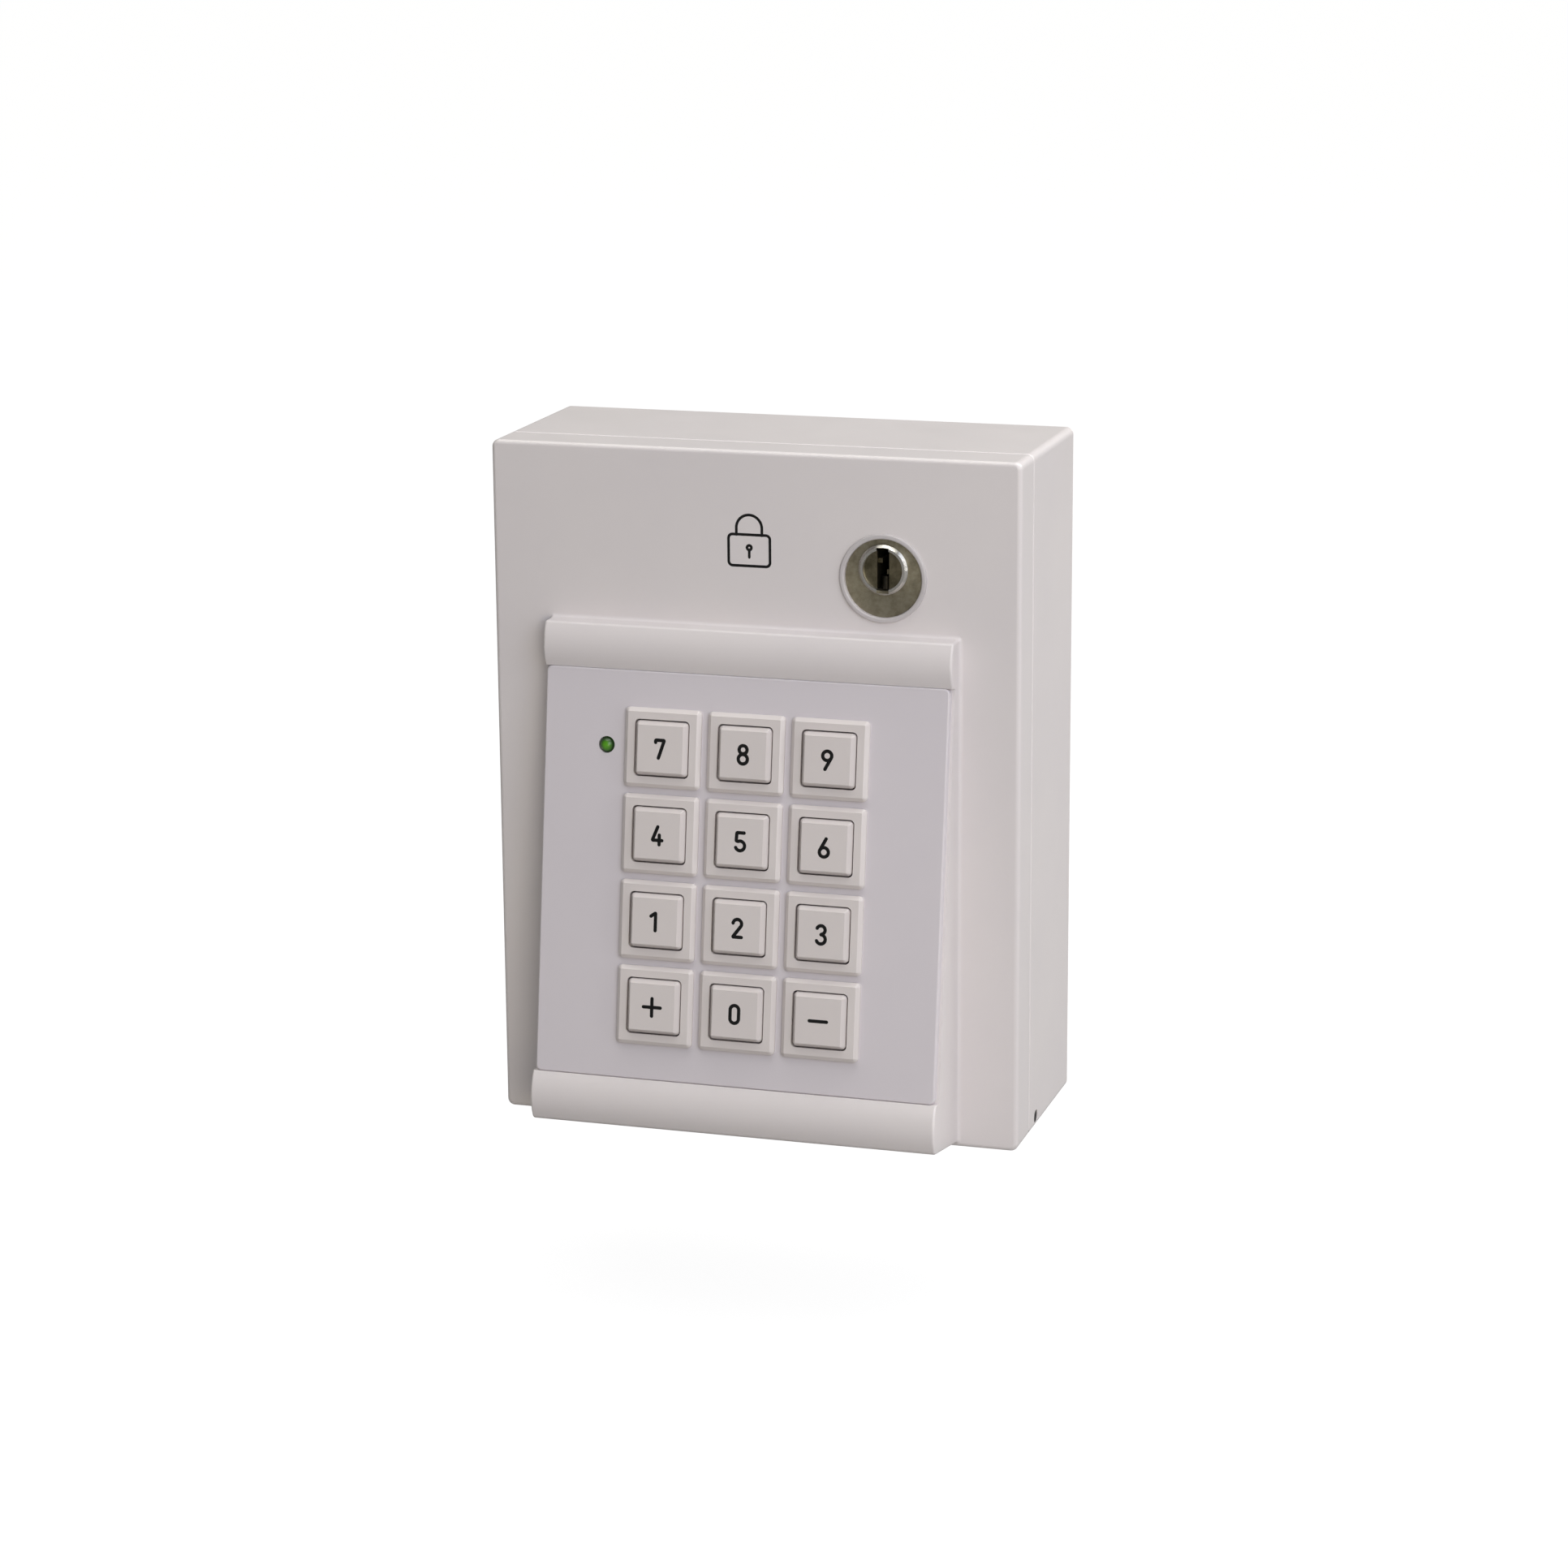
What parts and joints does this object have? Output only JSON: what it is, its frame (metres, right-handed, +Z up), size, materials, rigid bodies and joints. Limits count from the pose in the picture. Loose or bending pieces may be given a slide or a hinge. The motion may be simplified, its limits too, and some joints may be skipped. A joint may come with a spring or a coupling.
{
  "type": "alarm keypad panel",
  "caption": "Wall-mounted alarm keypad panel: box with a sloping raised keypad of separate square push keys, a key-operated lock and a status lamp on a hinged front cover.",
  "frame": {"origin": "middle of the back face, which lies on the wall", "axes": "+X to the right as seen from the front, +Z up, +Y into the wall, so the front faces -Y"},
  "size_m": [0.12, 0.0687, 0.154],
  "materials": {
    "housing_plastic": "satin, fine texture",
    "plate_plastic": "satin, fine texture",
    "key_plastic": "satin",
    "lamp_green": "translucent",
    "lock_bronze": "brushed",
    "plug_nickel": "polished",
    "steel": "satin",
    "board_green": "solder mask",
    "terminal_green": "moulded",
    "black_plastic": "moulded",
    "relay_blue": "moulded",
    "spring_steel": "drawn wire",
    "black_steel": "blackened, satin",
    "contact_brass": "tinned",
    "rubber_black": "matt"
  },
  "bodies": {
    "base": {"base_housing": "housing_plastic", "cable_grommet": "rubber_black", "terminal_board": "board_green", "board_screws": "steel", "terminal_block": "terminal_green", "terminal_screws": "steel", "relay": "relay_blue", "control_chip": "black_plastic", "buzzer": "black_plastic", "board_header": "black_plastic", "tamper_switch": "black_plastic", "lock_keep": "steel"},
    "cover": {"front_cover": "housing_plastic", "keypad_plate": "plate_plastic", "key_bezel_7": "key_plastic", "key_bezel_8": "key_plastic", "key_bezel_9": "key_plastic", "key_bezel_4": "key_plastic", "key_bezel_5": "key_plastic", "key_bezel_6": "key_plastic", "key_bezel_1": "key_plastic", "key_bezel_2": "key_plastic", "key_bezel_3": "key_plastic", "key_bezel_plus": "key_plastic", "key_bezel_0": "key_plastic", "key_bezel_minus": "key_plastic", "keypad_board": "board_green", "switch_pins": "contact_brass", "board_spacers": "contact_brass", "spacer_screws": "steel", "keypad_header": "black_plastic", "status_led": "lamp_green", "led_leads": "steel", "key_springs": "spring_steel", "lock_trim_ring": "plate_plastic", "lock_cylinder": "lock_bronze", "lock_nut": "lock_bronze", "hinge_pins": "black_steel"},
    "lock": {"lock_plug": "plug_nickel", "lock_pins": "steel", "lock_cam": "steel", "cam_screw": "steel"},
    "tamper": {"tamper_plunger": "black_plastic"},
    "key_7": {"key_cap_7": "key_plastic"},
    "key_8": {"key_cap_8": "key_plastic"},
    "key_9": {"key_cap_9": "key_plastic"},
    "key_4": {"key_cap_4": "key_plastic"},
    "key_5": {"key_cap_5": "key_plastic"},
    "key_6": {"key_cap_6": "key_plastic"},
    "key_1": {"key_cap_1": "key_plastic"},
    "key_2": {"key_cap_2": "key_plastic"},
    "key_3": {"key_cap_3": "key_plastic"},
    "key_plus": {"key_cap_plus": "key_plastic"},
    "key_0": {"key_cap_0": "key_plastic"},
    "key_minus": {"key_cap_minus": "key_plastic"}
  },
  "joints": [
    {"name": "cover_hinge", "type": "hinge", "parent": "base", "child": "cover", "pos_m": [0, -0.0305, -0.0744], "axis": [1, 0, 0], "range_deg": [0, 90]},
    {"name": "lock_turn", "type": "hinge", "parent": "cover", "child": "lock", "pos_m": [0.0295, -0.0476, 0.0524], "axis": [0, 1, 0], "range_deg": [0, 90]},
    {"name": "tamper_slide", "type": "slide", "parent": "base", "child": "tamper", "axis": [0, -1, 0], "range_m": [0, 0.003]},
    {"name": "key_7_press", "type": "slide", "parent": "cover", "child": "key_7", "axis": [0, 0.99, -0.1409], "range_m": [0, 0.0016], "stiffness_N_per_m": 300, "springref_m": -0.0015},
    {"name": "key_8_press", "type": "slide", "parent": "cover", "child": "key_8", "axis": [0, 0.99, -0.1409], "range_m": [0, 0.0016], "stiffness_N_per_m": 300, "springref_m": -0.0015},
    {"name": "key_9_press", "type": "slide", "parent": "cover", "child": "key_9", "axis": [0, 0.99, -0.1409], "range_m": [0, 0.0016], "stiffness_N_per_m": 300, "springref_m": -0.0015},
    {"name": "key_4_press", "type": "slide", "parent": "cover", "child": "key_4", "axis": [0, 0.99, -0.1409], "range_m": [0, 0.0016], "stiffness_N_per_m": 300, "springref_m": -0.0015},
    {"name": "key_5_press", "type": "slide", "parent": "cover", "child": "key_5", "axis": [0, 0.99, -0.1409], "range_m": [0, 0.0016], "stiffness_N_per_m": 300, "springref_m": -0.0015},
    {"name": "key_6_press", "type": "slide", "parent": "cover", "child": "key_6", "axis": [0, 0.99, -0.1409], "range_m": [0, 0.0016], "stiffness_N_per_m": 300, "springref_m": -0.0015},
    {"name": "key_1_press", "type": "slide", "parent": "cover", "child": "key_1", "axis": [0, 0.99, -0.1409], "range_m": [0, 0.0016], "stiffness_N_per_m": 300, "springref_m": -0.0015},
    {"name": "key_2_press", "type": "slide", "parent": "cover", "child": "key_2", "axis": [0, 0.99, -0.1409], "range_m": [0, 0.0016], "stiffness_N_per_m": 300, "springref_m": -0.0015},
    {"name": "key_3_press", "type": "slide", "parent": "cover", "child": "key_3", "axis": [0, 0.99, -0.1409], "range_m": [0, 0.0016], "stiffness_N_per_m": 300, "springref_m": -0.0015},
    {"name": "key_plus_press", "type": "slide", "parent": "cover", "child": "key_plus", "axis": [0, 0.99, -0.1409], "range_m": [0, 0.0016], "stiffness_N_per_m": 300, "springref_m": -0.0015},
    {"name": "key_0_press", "type": "slide", "parent": "cover", "child": "key_0", "axis": [0, 0.99, -0.1409], "range_m": [0, 0.0016], "stiffness_N_per_m": 300, "springref_m": -0.0015},
    {"name": "key_minus_press", "type": "slide", "parent": "cover", "child": "key_minus", "axis": [0, 0.99, -0.1409], "range_m": [0, 0.0016], "stiffness_N_per_m": 300, "springref_m": -0.0015}
  ],
  "couplings": [
    {"joint": "tamper_slide", "follows": "cover_hinge", "m_per_rad": 0.0019}
  ]
}
